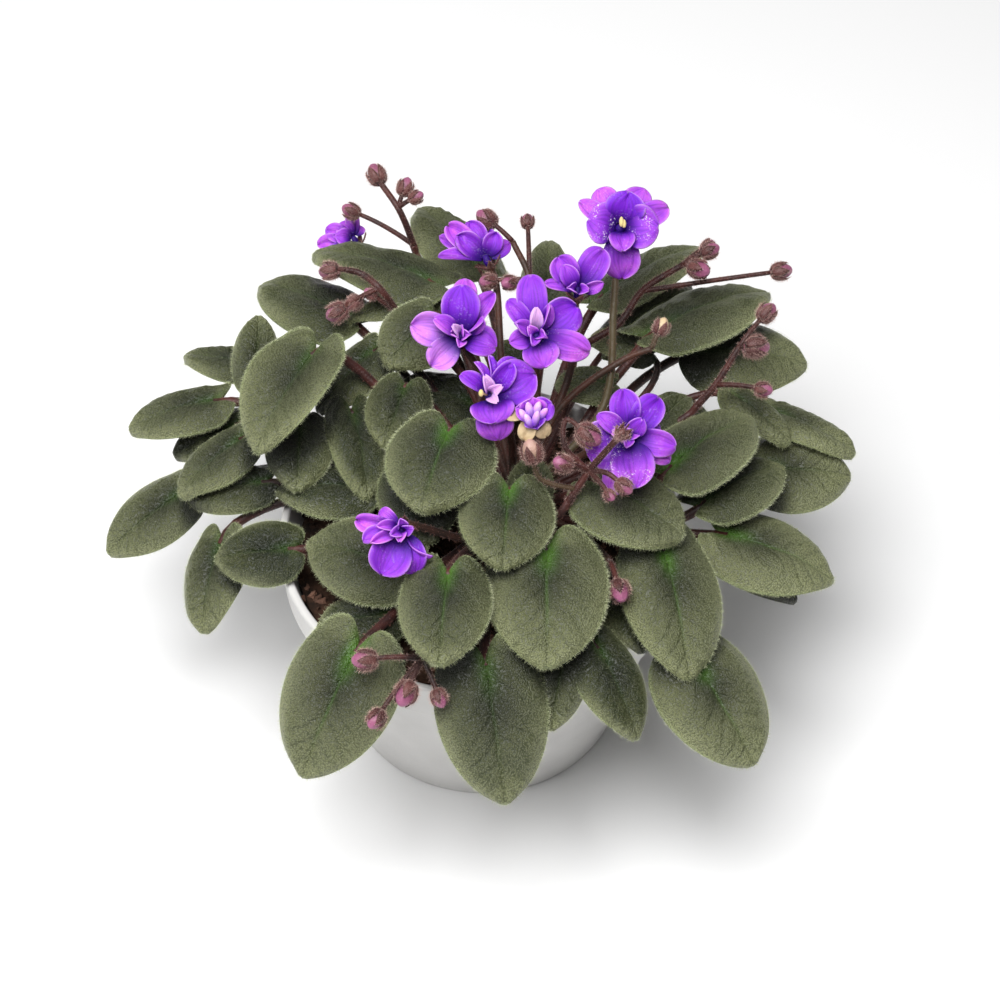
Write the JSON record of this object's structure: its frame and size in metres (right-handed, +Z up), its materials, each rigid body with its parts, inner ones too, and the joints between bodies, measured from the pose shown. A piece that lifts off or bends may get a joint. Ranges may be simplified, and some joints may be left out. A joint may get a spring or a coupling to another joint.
{
  "type": "potted african violet",
  "caption": "Compact double-flowered African violet with furry heart-shaped leaves and violet blooms in a small round plastic pot.",
  "frame": {"origin": "middle of the pot's flat base, which stands on the table", "axes": "+Z up along the pot's axis; -Y towards the side that the picture was taken from, where the foliage hangs lowest; +X to the right in the picture"},
  "size_m": [0.1962, 0.181, 0.1233],
  "materials": {
    "pot": "smooth moulded plastic, satin",
    "soil": "dark crumbly potting soil; fabric stands in for soil",
    "stems": "fleshy, brown-red and hairy; rubber stands in for plant tissue",
    "leaf": "fleshy, grey-green and velvety; rubber stands in for plant tissue",
    "flower": "thin glistening petals; fabric stands in for petals",
    "bud": "small hairy buds; rubber stands in for plant tissue"
  },
  "bodies": {
    "root": {"pot": "pot", "soil": "soil", "stems": "stems", "leaf_01": "leaf", "leaf_02": "leaf", "leaf_03": "leaf", "leaf_04": "leaf", "leaf_05": "leaf", "leaf_06": "leaf", "leaf_07": "leaf", "leaf_08": "leaf", "leaf_09": "leaf", "leaf_10": "leaf", "leaf_11": "leaf", "leaf_12": "leaf", "leaf_13": "leaf", "leaf_14": "leaf", "leaf_15": "leaf", "leaf_16": "leaf", "leaf_17": "leaf", "leaf_18": "leaf", "leaf_19": "leaf", "leaf_20": "leaf", "leaf_21": "leaf", "leaf_22": "leaf", "leaf_23": "leaf", "leaf_24": "leaf", "leaf_25": "leaf", "leaf_26": "leaf", "leaf_27": "leaf", "leaf_28": "leaf", "leaf_29": "leaf", "leaf_30": "leaf", "leaf_31": "leaf", "leaf_32": "leaf", "leaf_33": "leaf", "leaf_34": "leaf", "leaf_35": "leaf", "leaf_36": "leaf", "leaf_37": "leaf", "leaf_38": "leaf", "leaf_39": "leaf", "leaf_40": "leaf", "leaf_41": "leaf", "flower_01": "flower", "flower_02": "flower", "flower_03": "flower", "flower_04": "flower", "flower_05": "flower", "flower_06": "flower", "flower_07": "flower", "flower_08": "flower", "flower_09": "flower", "flower_10": "flower", "buds_01": "bud", "buds_02": "bud", "buds_03": "bud", "buds_04": "bud", "buds_05": "bud", "buds_06": "bud"}
  },
  "joints": []
}
